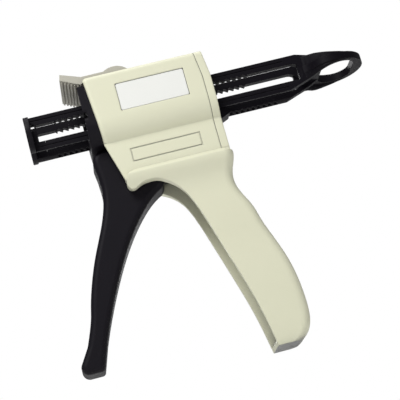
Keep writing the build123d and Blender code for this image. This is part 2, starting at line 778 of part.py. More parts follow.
# Drive pawl, drawn engaged and turned back by the engaging angle
tilt = radians(pawl_engage_angle)
pawl_plane = Plane(origin=(pawl_pin_x, 0, pawl_pin_z), x_dir=(cos(tilt), 0, sin(tilt)), z_dir=(0, -1, 0))
with BuildPart() as drive_pawl:
    with BuildSketch(pawl_plane):
        with BuildLine():
            Polyline(
                (-pawl_reach - pawl_wing_ahead, pawl_wing_bottom),
                (-pawl_reach + pawl_wing_behind, pawl_wing_bottom),
                (-pawl_reach + pawl_wing_behind, pawl_wing_top),
                (-pawl_reach + pawl_wing_behind - 1, pawl_wing_top),
                (-pawl_reach + pawl_tip_land, pawl_tip_height),
                (-pawl_reach, pawl_tip_height),
                (-pawl_reach, pawl_wing_top),
                (-pawl_reach - pawl_wing_ahead, pawl_wing_top),
                close=True,
            )
        make_face()
    extrude(amount=pawl_half_span, both=True)
    with BuildSketch(pawl_plane):
        with Locations((-pawl_bar_length / 2, 0.1)):
            Rectangle(pawl_bar_length, pawl_bar_height)
        Circle(pawl_hub_radius)
    extrude(amount=fork_inner_half - side_clearance, both=True)
    with BuildSketch(pawl_plane):
        Circle(pawl_pin_diameter / 2 + pin_clearance)
    extrude(amount=fork_inner_half, both=True, mode=Mode.SUBTRACT)
finish(drive_pawl.part, "drive_pawl")

# Release lever with its holding nib, drawn with the nib in the teeth and turned back
lift = radians(hold_engage_angle)
nib_plane = Plane(origin=(release_pin_x, 0, release_pin_z), x_dir=(cos(lift), 0, -sin(lift)),
                  z_dir=(0, -1, 0))
with BuildPart() as release_lever:
    with BuildSketch(Plane.XZ):
        with BuildLine():
            Polyline(
                (release_pin_x, release_pin_z - release_hub_radius),
                *release_wedge,
                (release_pin_x, release_pin_z + release_hub_radius),
                close=True,
            )
        make_face()
        with Locations((release_pin_x, release_pin_z)):
            Circle(release_hub_radius)
            Circle(release_pin_diameter / 2 + pin_clearance, mode=Mode.SUBTRACT)
    extrude(amount=release_half_width, both=True)
    with BuildSketch(nib_plane):
        with BuildLine():
            Polyline(
                (hold_reach - nib_ahead, nib_bottom),
                (hold_reach + nib_behind, nib_bottom),
                (hold_reach + nib_behind, nib_shoulder),
                (hold_reach + nib_behind - nib_land, nib_shoulder),
                (hold_reach + nib_land, nib_height),
                (hold_reach, nib_height),
                (hold_reach, nib_shoulder),
                (hold_reach - nib_ahead, nib_shoulder),
                close=True,
            )
        make_face()
    extrude(amount=hold_half_span, both=True)
finish(release_lever.part, "release_lever")

# Clamp latch over the nose
hump_back = (latch_back_x + 0.2, body_top_z)
hump_front = (latch_bend_x, latch_plate_top_z)
tab_root = (latch_front_x - 0.4, latch_root_z)
tab_under = (tab_tip_x - 0.8, tab_tip_z - tab_tip_thickness)
latch_under_z = latch_plate_top_z - latch_plate_thickness
with BuildPart() as latch_lever:
    with BuildSketch(Plane.XZ):
        with BuildLine():
            Polyline((latch_back_x, latch_pin_z), hump_back)
            ThreePointArc(hump_back, (18.0, latch_hump_z), hump_front)
            Polyline(
                hump_front,
                (latch_front_x + 0.6, latch_plate_top_z),
                (tab_tip_x, tab_tip_z),
                tab_under,
                tab_root,
                (latch_front_x + 1.2, latch_under_z),
                (latch_inner_x - 0.2, latch_under_z),
                (latch_inner_x + 0.2, latch_pin_z),
                (latch_back_x, latch_pin_z),
            )
        make_face()
        with Locations((latch_pin_x, latch_pin_z)):
            Circle(latch_hub_radius)
            Circle(latch_pin_diameter / 2 + pin_clearance, mode=Mode.SUBTRACT)
    extrude(amount=latch_half_width, both=True)
    # Grip ribs under the tab
    with BuildSketch(Plane.XZ):
        for index in range(rib_count):
            share = (index + 0.8) / (rib_count + 0.6)
            x = tab_root[0] + share * (tab_under[0] - tab_root[0])
            z = tab_root[1] + share * (tab_under[1] - tab_root[1])
            with Locations((x, z)):
                Rectangle(rib_width, 2 * rib_height, rotation=rib_tilt)
    extrude(amount=latch_half_width - 1.0, both=True)
    # Lug that holds the cartridge flange down
    with BuildSketch(Plane.XZ):
        with Locations((lug_x, (lug_bottom_z + latch_plate_top_z - 1) / 2)):
            Rectangle(lug_thickness, latch_plate_top_z - 1 - lug_bottom_z)
    extrude(amount=lug_half_width, both=True)
finish(latch_lever.part, "latch_lever")

# Springs
with BuildPart() as trigger_spring:
    spring_y = trigger_hub_end_y + spring_wire_radius + side_clearance / 4
    spring_height = spring_bay - 2 * spring_wire_radius
    with BuildLine() as coil:
        Helix(pitch=spring_height / spring_turns, height=spring_height, radius=spring_radius,
              center=(trigger_pin_x, spring_y, trigger_pin_z), direction=(0, 1, 0))
    with BuildSketch(Plane(origin=coil.line @ 0, z_dir=coil.line % 0)):
        RegularPolygon(spring_wire_radius, 6)
    sweep(path=coil.line, is_frenet=True)
finish(trigger_spring.part, "trigger_spring")

for name, (half_width, thickness, points) in [("pawl_spring", pawl_leaf), ("release_spring", release_leaf)]:
    with BuildPart() as leaf:
        with BuildSketch(Plane.XZ):
            with BuildLine():
                Polyline(*points, *[(x, z - thickness) for x, z in reversed(points)], close=True)
            make_face()
        extrude(amount=half_width, both=True)
    finish(leaf.part, name)

with BuildPart() as latch_spring:
    with Locations((latch_pin_x, 0, latch_leaf_z)):
        Box(latch_leaf_length, 2 * (inner_side - 0.15), latch_leaf_thickness)
finish(latch_spring.part, "latch_spring")
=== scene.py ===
"""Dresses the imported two-barrel ratchet dispenser: finishes, turned and wound pieces, studio and camera."""

import logging
import math
from dataclasses import dataclass
from enum import Enum

import bmesh
import bpy
from mathutils import Matrix, Vector


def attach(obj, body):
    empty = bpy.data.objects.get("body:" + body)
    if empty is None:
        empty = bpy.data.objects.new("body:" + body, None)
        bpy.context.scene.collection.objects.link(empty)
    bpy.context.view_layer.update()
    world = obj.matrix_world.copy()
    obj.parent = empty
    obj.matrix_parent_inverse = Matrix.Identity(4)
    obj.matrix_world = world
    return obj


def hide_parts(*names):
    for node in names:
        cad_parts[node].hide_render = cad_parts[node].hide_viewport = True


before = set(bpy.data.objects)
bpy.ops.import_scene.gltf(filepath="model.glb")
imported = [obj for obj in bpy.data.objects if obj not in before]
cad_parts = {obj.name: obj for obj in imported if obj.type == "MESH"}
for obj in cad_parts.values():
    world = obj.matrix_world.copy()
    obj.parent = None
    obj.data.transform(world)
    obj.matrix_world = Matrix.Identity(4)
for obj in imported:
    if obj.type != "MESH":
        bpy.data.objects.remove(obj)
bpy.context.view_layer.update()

MM = 0.001
LOG = logging.getLogger("dispenser")
WHITE = (1.0, 1.0, 1.0, 1.0)


class Body(Enum):
    """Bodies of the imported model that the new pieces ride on."""

    HOUSING = "housing"
    TRIGGER = "trigger"
    PLUNGER = "plunger"


class Slot(Enum):
    """Material slots of the record that the new pieces stand for."""

    BLACK = "black_plastic"
    LABEL = "label"
    STEEL = "steel"
    SPRING = "spring_steel"


def mm(*values: float) -> Vector:
    """Turns a point in millimetres into metres.

    Args:
        values: x, y and z in millimetres.

    Returns:
        The point as a vector in metres.
    """
    return Vector([value * MM for value in values])


def linked(name: str, data: bpy.types.ID) -> bpy.types.Object:
    """Makes an object and links it to the scene.

    Args:
        name: name of the object.
        data: its mesh, lamp or camera.

    Returns:
        The object.
    """
    thing = bpy.data.objects.new(name, data)
    bpy.context.scene.collection.objects.link(thing)
    return thing


def new_piece(
    name: str, mesh: bpy.types.Mesh, material: bpy.types.Material, body: Body
) -> bpy.types.Object:
    """Links a finished mesh as a piece that rides on a body.

    Args:
        name: name of the piece.
        mesh: mesh with its place in its points.
        material: finish of the whole piece.
        body: body that carries it.

    Returns:
        The linked object.
    """
    piece = linked(name, mesh)
    mesh.materials.clear()
    mesh.materials.append(material)
    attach(piece, body.value)
    LOG.info("piece %s: %d faces", name, len(mesh.polygons))
    return piece


def shade_smooth(mesh: bpy.types.Mesh, angle: float) -> None:
    """Smooths a mesh, keeping the edges sharper than an angle.

    Args:
        mesh: mesh to shade.
        angle: largest smoothed angle in degrees.
    """
    mesh.shade_smooth()
    mesh.set_sharp_from_angle(angle=math.radians(angle))


def lathe(profile: list[tuple[float, float]], steps: int) -> bmesh.types.BMesh:
    """Turns a closed profile round the X axis.

    Args:
        profile: (x, radius) points in millimetres; radius 0 lies on the axis.
        steps: number of steps round the axis.

    Returns:
        A closed mesh in metres.
    """
    made = bmesh.new()
    rings = []
    for x, radius in profile:
        if radius == 0:
            rings.append([made.verts.new(mm(x, 0, 0))])
            continue
        ring = []
        for step in range(steps):
            turn = 2 * math.pi * step / steps
            ring.append(made.verts.new(mm(x, radius * math.cos(turn), radius * math.sin(turn))))
        rings.append(ring)
    for first, second in zip(rings, rings[1:]):
        for step in range(steps):
            after = (step + 1) % steps
            if len(first) == 1:
                made.faces.new((first[0], second[after], second[step]))
            elif len(second) == 1:
                made.faces.new((first[step], first[after], second[0]))
            else:
                made.faces.new((first[step], first[after], second[after], second[step]))
    bmesh.ops.recalc_face_normals(made, faces=made.faces)
    return made


def close_rings(made: bmesh.types.BMesh, rings: list[list[bmesh.types.BMVert]]) -> None:
    """Skins a row of equal rings and closes both ends.

    Args:
        made: mesh that holds the rings' points.
        rings: points of each ring, in order.
    """
    count = len(rings[0])
    for first, second in zip(rings, rings[1:]):
        for index in range(count):
            after = (index + 1) % count
            made.faces.new((first[index], first[after], second[after], second[index]))
    made.faces.new(rings[0])
    made.faces.new(rings[-1])


def finished_mesh(made: bmesh.types.BMesh, name: str) -> bpy.types.Mesh:
    """Turns the faces outwards and writes a built form to a new mesh.

    Args:
        made: form to write; it is freed.
        name: name of the mesh.

    Returns:
        The mesh.
    """
    bmesh.ops.recalc_face_normals(made, faces=made.faces)
    mesh = bpy.data.meshes.new(name)
    made.to_mesh(mesh)
    made.free()
    return mesh


def evaluated_mesh(thing: bpy.types.Object) -> bpy.types.Mesh:
    """Copies an object's mesh with its modifiers applied.

    Args:
        thing: object to evaluate.

    Returns:
        The new mesh.
    """
    graph = bpy.context.evaluated_depsgraph_get()
    return bpy.data.meshes.new_from_object(thing.evaluated_get(graph))


def connect(
    tree: bpy.types.NodeTree, links: tuple[tuple[bpy.types.Node, str | int, bpy.types.Node, str | int], ...]
) -> None:
    """Links nodes by their sockets.

    Args:
        tree: tree that holds the nodes.
        links: source node, its output, target node and its input, for each link.
    """
    for source, output, target, entry in links:
        tree.links.new(source.outputs[output], target.inputs[entry])


def grown_mesh(
    name: str, mesh: bpy.types.Mesh, tree: bpy.types.NodeTree, values: dict[str, object]
) -> bpy.types.Mesh:
    """Runs a geometry node tree on a mesh.

    Args:
        name: name of the passing object that carries the tree.
        mesh: mesh to start from.
        tree: geometry node tree.
        values: the tree's inputs by name.

    Returns:
        The mesh that the tree makes.
    """
    carrier = linked(name, mesh)
    modifier = carrier.modifiers.new(name, "NODES")
    modifier.node_group = tree
    for item in tree.interface.items_tree:
        if item.name in values:
            modifier[item.identifier] = values[item.name]
    grown = evaluated_mesh(carrier)
    carrier.modifiers.remove(modifier)
    bpy.data.objects.remove(carrier)
    return grown


# Shader effects


class EffectGroup:
    """A shader node group, built once and placed in each material that uses it."""

    def __init__(
        self, name: str, inputs: list[tuple[str, str, float]], outputs: list[tuple[str, str]]
    ) -> None:
        """Makes the empty group with its named sockets.

        Args:
            name: name of the effect.
            inputs: name, socket type and default value of each input.
            outputs: name and socket type of each output.
        """
        self.tree = bpy.data.node_groups.new(name, "ShaderNodeTree")
        for label, kind, default in inputs:
            socket = self.tree.interface.new_socket(name=label, in_out="INPUT", socket_type=kind)
            socket.default_value = default
        for label, kind in outputs:
            self.tree.interface.new_socket(name=label, in_out="OUTPUT", socket_type=kind)
        self.source = self.tree.nodes.new("NodeGroupInput")
        self.sink = self.tree.nodes.new("NodeGroupOutput")

    def add(self, kind: str, **settings: object) -> bpy.types.Node:
        """Adds a node to the group.

        Args:
            kind: node type.
            settings: properties to set on the node.

        Returns:
            The new node.
        """
        node = self.tree.nodes.new(kind)
        for key, value in settings.items():
            setattr(node, key, value)
        return node

    def link(self, source: bpy.types.NodeSocket, target: bpy.types.NodeSocket) -> None:
        """Links two sockets of the group.

        Args:
            source: output to read.
            target: input to feed.
        """
        self.tree.links.new(source, target)

    def math(
        self, operation: str, first: object, second: object, clamp: bool = False
    ) -> bpy.types.NodeSocket:
        """Adds a Math node.

        Args:
            operation: name of the operation.
            first: socket or number.
            second: socket or number.
            clamp: keep the result between 0 and 1.

        Returns:
            The node's result.
        """
        node = self.add("ShaderNodeMath", operation=operation, use_clamp=clamp)
        for index, value in enumerate((first, second)):
            if isinstance(value, (int, float)):
                node.inputs[index].default_value = value
            else:
                self.link(value, node.inputs[index])
        return node.outputs[0]

    def blend(
        self, first: bpy.types.NodeSocket, second: bpy.types.NodeSocket, share: float
    ) -> bpy.types.NodeSocket:
        """Adds two values, each by its share.

        Args:
            first: value that counts by the share.
            second: value that counts by the rest.
            share: share of the first, between 0 and 1.

        Returns:
            The blended value.
        """
        parts =(self.math("MULTIPLY", first, share), self.math("MULTIPLY", second, 1.0 - share))
        return self.math("ADD", *parts)

    def noise(self, vector: bpy.types.NodeSocket, scale: object, detail: float) -> bpy.types.NodeSocket:
        """Adds a noise texture.

        Args:
            vector: point to read it at.
            scale: socket or number.
            detail: number of octaves.

        Returns:
            The noise as a factor.
        """
        node = self.add("ShaderNodeTexNoise")
        self.link(vector, node.inputs["Vector"])
        node.inputs["Detail"].default_value = detail
        if isinstance(scale, (int, float)):
            node.inputs["Scale"].default_value = scale
        else:
            self.link(scale, node.inputs["Scale"])
        return node.outputs["Fac"]


class MouldedGrain(EffectGroup):
    """Fine spark-eroded grain with slow flow shades, as moulded plastic has."""

    fine_detail: float = 2.0
    slow_detail: float = 3.0
    pore_scale: float = 0.31
    main_share: float = 0.6

    def __init__(self) -> None:
        """Builds the group."""
        super().__init__(
            "moulded_grain",
            [("Grain Scale", "NodeSocketFloat", 2600.0), ("Flow Scale", "NodeSocketFloat", 45.0)],
            [("Height", "NodeSocketFloat"), ("Tone", "NodeSocketFloat"), ("Gloss", "NodeSocketFloat")],
        )
        where = self.add("ShaderNodeTexCoord").outputs["Object"]
        scale = self.source.outputs["Grain Scale"]
        fine = self.noise(where, scale, self.fine_detail)
        pores = self.noise(where, self.math("MULTIPLY", scale, self.pore_scale), self.slow_detail)
        flow = self.noise(where, self.source.outputs["Flow Scale"], self.slow_detail)
        self.link(self.blend(fine, pores, self.main_share), self.sink.inputs["Height"])
        self.link(flow, self.sink.inputs["Tone"])
        self.link(self.blend(flow, pores, self.main_share), self.sink.inputs["Gloss"])


class EdgeRub(EffectGroup):
    """Softened edges, with a mask of where hands and tables rub them."""

    samples: int = 6
    edge_gain: float = 5.0
    patch_detail: float = 4.0
    patch_floor: float = 0.35
    patch_gain: float = 3.0

    def __init__(self) -> None:
        """Builds the group."""
        super().__init__(
            "edge_rub",
            [("Radius", "NodeSocketFloat", 0.0006), ("Patchiness", "NodeSocketFloat", 140.0)],
            [("Mask", "NodeSocketFloat"), ("Normal", "NodeSocketVector")],
        )
        bevel = self.add("ShaderNodeBevel", samples=self.samples)
        self.link(self.source.outputs["Radius"], bevel.inputs["Radius"])
        flat = self.add("ShaderNodeNewGeometry").outputs["Normal"]
        turn = self.add("ShaderNodeVectorMath", operation="DOT_PRODUCT")
        self.link(bevel.outputs[0], turn.inputs[0])
        self.link(flat, turn.inputs[1])
        bent = self.math("SUBTRACT", 1.0, turn.outputs["Value"])
        edge = self.math("MULTIPLY", bent, self.edge_gain, clamp=True)
        where = self.add("ShaderNodeTexCoord").outputs["Object"]
        patches = self.noise(where, self.source.outputs["Patchiness"], self.patch_detail)
        raised = self.math("SUBTRACT", patches, self.patch_floor)
        patchy = self.math("MULTIPLY", raised, self.patch_gain, clamp=True)
        self.link(self.math("MULTIPLY", edge, patchy), self.sink.inputs["Mask"])
        self.link(bevel.outputs[0], self.sink.inputs["Normal"])


class HollowMask(EffectGroup):
    """Mask of inner corners and deep bays, found by ambient occlusion; it darkens creases and paints shade
    into deep bays.
    """

    samples: int = 6
    falloff: float = 1.6

    def __init__(self) -> None:
        """Builds the group."""
        super().__init__(
            "hollow_mask",
            [("Reach", "NodeSocketFloat", 0.004)],
            [("Mask", "NodeSocketFloat")],
        )
        hollow = self.add("ShaderNodeAmbientOcclusion", samples=self.samples)
        self.link(self.source.outputs["Reach"], hollow.inputs["Distance"])
        closed = self.math("SUBTRACT", 1.0, hollow.outputs["AO"])
        self.link(self.math("POWER", closed, self.falloff), self.sink.inputs["Mask"])


class MaterialBook:
    """Builds each finish once and hands it out."""

    def __init__(self) -> None:
        """Builds the shared effects."""
        self.grain = MouldedGrain()
        self.rub = EdgeRub()
        self.hollows = HollowMask()
        self.made: dict[str, bpy.types.Material] = {}

    def get(self, finish: "Finish") -> bpy.types.Material:
        """Gives the material of a finish.

        Args:
            finish: finish to build or to find.

        Returns:
            The material.
        """
        if finish.name not in self.made:
            self.made[finish.name] = finish.build(self)
        return self.made[finish.name]


class Wiring:
    """A material's own nodes, with the shader and the shared effects."""

    def __init__(self, name: str) -> None:
        """Makes the material and finds its shader.

        Args:
            name: name of the material.
        """
        self.material = bpy.data.materials.new(name)
        self.material.use_nodes = True
        self.nodes = self.material.node_tree.nodes
        self.shader = self.nodes["Principled BSDF"]

    def link(self, source: bpy.types.NodeSocket, target: bpy.types.NodeSocket) -> None:
        """Links two sockets of the material.

        Args:
            source: output to read.
            target: input to feed.
        """
        self.material.node_tree.links.new(source, target)

    def effect(self, group: EffectGroup, **values: float) -> bpy.types.Node:
        """Places a shared effect.

        Args:
            group: effect to place.
            values: its inputs, with underscores for spaces.

        Returns:
            The group node.
        """
        node = self.nodes.new("ShaderNodeGroup")
        node.node_tree = group.tree
        for key, value in values.items():
            node.inputs[key.replace("_", " ")].default_value = value
        return node

    def mix(
        self, factor: bpy.types.NodeSocket, first: object, second: tuple[float, float, float]
    ) -> bpy.types.NodeSocket:
        """Mixes two colours.

        Args:
            factor: share of the second colour.
            first: socket or colour.
            second: colour.

        Returns:
            The mixed colour.
        """
        node = self.nodes.new("ShaderNodeMix")
        node.data_type = "RGBA"
        self.link(factor, node.inputs["Factor"])
        if isinstance(first, bpy.types.NodeSocket):
            self.link(first, node.inputs["A"])
        else:
            node.inputs["A"].default_value = (*first, 1.0)
        node.inputs["B"].default_value = (*second, 1.0)
        return node.outputs["Result"]

    def scaled(self, value: bpy.types.NodeSocket, factor: float, offset: float = 0.0) -> bpy.types.NodeSocket:
        """Scales a value and adds an offset, kept between 0 and 1.

        Args:
            value: value to scale.
            factor: number to multiply it by.
            offset: number to add.

        Returns:
            The scaled value.
        """
        node = self.nodes.new("ShaderNodeMath")
        node.operation = "MULTIPLY_ADD"
        node.use_clamp = True
        self.link(value, node.inputs[0])
        node.inputs[1].default_value = factor
        node.inputs[2].default_value = offset
        return node.outputs[0]

    def roughen(self, gloss: bpy.types.NodeSocket, middle: float, spread: float) -> None:
        """Lets the shader's roughness vary round its middle value.

        Args:
            gloss: value between 0 and 1 that varies over the surface.
            middle: middle roughness.
            spread: difference between the roughest and the smoothest place.
        """
        self.link(self.scaled(gloss, spread, middle - spread / 2), self.shader.inputs["Roughness"])

    def bump(self, height: bpy.types.NodeSocket, depth: float, normal: bpy.types.NodeSocket) -> None:
        """Feeds the shader's normal with a bumped, softened surface.

        Args:
            height: height of the grain.
            depth: its depth in metres.
            normal: softened normal to start from.
        """
        node = self.nodes.new("ShaderNodeBump")
        node.inputs["Strength"].default_value = 1.0
        node.inputs["Distance"].default_value = depth
        self.link(height, node.inputs["Height"])
        self.link(normal, node.inputs["Normal"])
        self.link(node.outputs["Normal"], self.shader.inputs["Normal"])


@dataclass(frozen=True)
class Finish:
    """A named finish; each kind builds its own material."""

    name: str

    def build(self, book: MaterialBook) -> bpy.types.Material:
        """Builds the material. Each kind of finish does it in its own way."""
        raise NotImplementedError(self.name)


@dataclass(frozen=True)
class MouldedPlastic(Finish):
    """Moulded plastic with grain, flow shades, softened edges, a little wear and darker creases.

    The bay values paint a blue-grey shade into deep hollows, and seam marks the line where two shells meet.
    """

    base: tuple[float, float, float] = (0.5, 0.5, 0.5)
    shade: tuple[float, float, float] = (0.45, 0.45, 0.45)
    worn: tuple[float, float, float] = (0.6, 0.6, 0.6)
    crease_tone: tuple[float, float, float] = (0.3, 0.3, 0.3)
    crease_tone_share: float = 0.3
    worn_share: float = 0.5
    painted_bay_shade: tuple[float, float, float] = (0.1, 0.1, 0.1)
    bay_gain: float = 0.0
    bay_offset: float = 0.0
    bay_reach: float = 0.03
    roughness: float = 0.4
    roughness_spread: float = 0.12
    specular: float = 0.5
    grain_scale: float = 2600.0
    grain_depth: float = 0.00001
    edge_radius: float = 0.0006
    seam: bool = False
    seam_half_width: float = 0.12
    seam_share: float = 0.75

    def build(self, book: MaterialBook) -> bpy.types.Material:
        """Builds the plastic.

        Args:
            book: holder of the shared effects.

        Returns:
            The material.
        """
        wires = Wiring(self.name)
        grain = wires.effect(book.grain, Grain_Scale=self.grain_scale)
        rub = wires.effect(book.rub, Radius=self.edge_radius)
        hollows = wires.effect(book.hollows)
        colour = wires.mix(grain.outputs["Tone"], self.base, self.shade)
        # Darker in inner corners and creases, where ambient occlusion finds them closed in.
        colour = wires.mix(wires.scaled(hollows.outputs["Mask"], self.crease_tone_share), colour, self.crease_tone)
        colour = wires.mix(wires.scaled(rub.outputs["Mask"], self.worn_share), colour, self.worn)
        # Painted shade: deep hollows, such as the grip's channel, turn dark and blue-grey.
        if self.bay_gain:
            deep = wires.effect(book.hollows, Reach=self.bay_reach)
            shaded = wires.scaled(deep.outputs["Mask"], self.bay_gain, self.bay_offset)
            colour = wires.mix(shaded, colour, self.painted_bay_shade)
        if self.seam:
            colour = wires.mix(self.seam_mask(wires), colour, self.crease_tone)
        wires.link(colour, wires.shader.inputs["Base Color"])
        wires.roughen(grain.outputs["Gloss"], self.roughness, self.roughness_spread)
        wires.shader.inputs["Specular IOR Level"].default_value = self.specular
        wires.bump(grain.outputs["Height"], self.grain_depth, rub.outputs["Normal"])
        return wires.material

    def seam_mask(self, wires: Wiring) -> bpy.types.NodeSocket:
        """Marks the thin line where the two shells meet, on the mid-plane.

        Args:
            wires: nodes of the material.

        Returns:
            A mask that is 1 on the line.
        """
        where = wires.nodes.new("ShaderNodeTexCoord")
        split = wires.nodes.new("ShaderNodeSeparateXYZ")
        wires.link(where.outputs["Object"], split.inputs[0])
        near = wires.nodes.new("ShaderNodeMath")
        near.operation = "COMPARE"
        wires.link(split.outputs["Y"], near.inputs[0])
        near.inputs[1].default_value = 0.0
        near.inputs[2].default_value = self.seam_half_width * MM
        return wires.scaled(near.outputs[0], self.seam_share)


@dataclass(frozen=True)
class WorkedMetal(Finish):
    """Plated, drawn or cast metal with a fine surface and rubbed edges."""

    base: tuple[float, float, float] = (0.6, 0.6, 0.6)
    shade: tuple[float, float, float] = (0.5, 0.5, 0.5)
    roughness: float = 0.35
    roughness_spread: float = 0.2
    grain_scale: float = 3500.0
    flow_scale: float = 220.0
    grain_depth: float = 0.000006
    edge_radius: float = 0.0002

    def build(self, book: MaterialBook) -> bpy.types.Material:
        """Builds the metal.

        Args:
            book: holder of the shared effects.

        Returns:
            The material.
        """
        wires = Wiring(self.name)
        grain = wires.effect(book.grain, Grain_Scale=self.grain_scale, Flow_Scale=self.flow_scale)
        rub = wires.effect(book.rub, Radius=self.edge_radius)
        wires.link(wires.mix(grain.outputs["Tone"], self.base, self.shade), wires.shader.inputs["Base Color"])
        wires.shader.inputs["Metallic"].default_value = 1.0
        wires.roughen(grain.outputs["Gloss"], self.roughness, self.roughness_spread)
        wires.bump(grain.outputs["Height"], self.grain_depth, rub.outputs["Normal"])
        return wires.material


CREAM = MouldedPlastic(
    "cream_shell",
    base=(0.760, 0.758, 0.575),
    shade=(0.735, 0.728, 0.548),
    worn=(0.80, 0.80, 0.66),
    crease_tone=(0.40, 0.36, 0.30),
    crease_tone_share=0.35,
    worn_share=0.35,
    roughness=0.42,
    grain_depth=0.000006,
    edge_radius=0.0011,
    # Painted shade for the deep hollows of the shells.
    painted_bay_shade=(0.085, 0.085, 0.105),
    bay_gain=3.2,
    bay_offset=-0.85,
    seam=True,
)
# A darker copy of the shell's cream: painted shade for the latch, whose faces turn down and forward, away
# from the light.
CREAM_LATCH_PAINTED_SHADE = MouldedPlastic(
    "cream_latch_painted_shade",
    base=(0.475, 0.460, 0.388),
    shade=(0.452, 0.436, 0.366),
    worn=(0.80, 0.79, 0.66),
    crease_tone=(0.30, 0.26, 0.23),
    crease_tone_share=0.45,
    worn_share=0.35,
    roughness=0.44,
    grain_depth=0.000006,
    edge_radius=0.0005,
)
BLACK = MouldedPlastic(
    "black_moulding",
    base=(0.0052, 0.0040, 0.0074),
    shade=(0.0040, 0.0031, 0.0057),
    worn=(0.014, 0.012, 0.016),
    crease_tone=(0.008, 0.007, 0.009),
    crease_tone_share=0.25,
    worn_share=0.6,
    roughness=0.52,
    specular=0.16,
    grain_depth=0.000012,
    edge_radius=0.0006,
)
BLACK_GUIDE = MouldedPlastic(
    "black_sliding_parts",
    base=(0.0052, 0.0042, 0.0070),
    shade=(0.0040, 0.0032, 0.0055),
    worn=(0.015, 0.013, 0.017),
    crease_tone=(0.010, 0.009, 0.011),
    crease_tone_share=0.25,
    worn_share=0.7,
    roughness=0.50,
    specular=0.10,
    grain_scale=3200.0,
    grain_depth=0.000008,
    edge_radius=0.0004,
)
LABEL_STOCK = MouldedPlastic(
    "label_stock",
    base=(0.865, 0.870, 0.830),
    shade=(0.850, 0.854, 0.812),
    worn=(0.90, 0.90, 0.88),
    crease_tone=(0.62, 0.60, 0.50),
    crease_tone_share=0.3,
    worn_share=0.2,
    roughness=0.30,
    roughness_spread=0.06,
    grain_scale=900.0,
    grain_depth=0.000002,
    edge_radius=0.0002,
)
STEEL = WorkedMetal("zinc_steel", base=(0.58, 0.58, 0.57), shade=(0.48, 0.48, 0.48), roughness=0.34)
SPRING = WorkedMetal("spring_steel", base=(0.42, 0.42, 0.43), shade=(0.33, 0.33, 0.34), roughness=0.30)
CAST = WorkedMetal("cast_pawl", base=(0.36, 0.36, 0.37), shade=(0.28, 0.28, 0.29), roughness=0.48)


def dress_node(name: str, material: bpy.types.Material) -> None:
    """Gives a carried-over CAD node its finish.

    Args:
        name: name of the node.
        material: finish of the whole node.
    """
    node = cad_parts[name]
    node.data.materials.clear()
    node.data.materials.append(material)
    LOG.info("node %s: %s", name, material.name)


# Sub-assemblies


@dataclass
class Housing:
    """The two shells, the rear cap, the yoke, the guide and the bare label plate."""

    label_low: tuple[float, float] = (15.1, -2.3)
    label_high: tuple[float, float] = (52.3, 12.7)
    label_back_y: float = -22.2
    label_thickness: float = 0.6
    label_corner: float = 0.9
    label_edge: float = 0.12
    corner_steps: int = 6
    smooth_angle: float = 20.0

    def build(self, book: MaterialBook) -> None:
        """Dresses the shells, the yoke and the guide and makes the label plate.

        Args:
            book: finishes.
        """
        for name in ("left_shell", "right_shell", "rear_cap"):
            dress_node(name, book.get(CREAM))
        for name in ("cartridge_yoke", "plunger_guide"):
            dress_node(name, book.get(BLACK))
        plate = new_piece("label_blank", self.label_mesh(), book.get(LABEL_STOCK), Body.HOUSING)
        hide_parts("label_plate")

    def label_mesh(self) -> bpy.types.Mesh:
        """Makes the label plate with rounded corners and a broken front edge.

        Returns:
            The mesh, in place on the left side.
        """
        (low_x, low_z), (high_x, high_z) = self.label_low, self.label_high
        front_y = self.label_back_y - self.label_thickness
        layers = [(self.label_back_y, 0.0), (front_y + self.label_edge, 0.0), (front_y, self.label_edge)]
        reach = self.label_corner
        corners = [(high_x - reach, high_z - reach, 0), (low_x + reach, high_z - reach, 90),
                   (low_x + reach, low_z + reach, 180), (high_x - reach, low_z + reach, 270)]
        made = bmesh.new()
        rings = []
        for y, inset in layers:
            radius = reach - inset
            ring = []
            for centre_x, centre_z, start in corners:
                for step in range(self.corner_steps + 1):
                    turn = math.radians(start + 90 * step / self.corner_steps)
                    x, z = centre_x + radius * math.cos(turn), centre_z + radius * math.sin(turn)
                    ring.append(made.verts.new(mm(x, y, z)))
            rings.append(ring)
        close_rings(made, rings)
        mesh = finished_mesh(made, "label_blank")
        shade_smooth(mesh, self.smooth_angle)
        return mesh


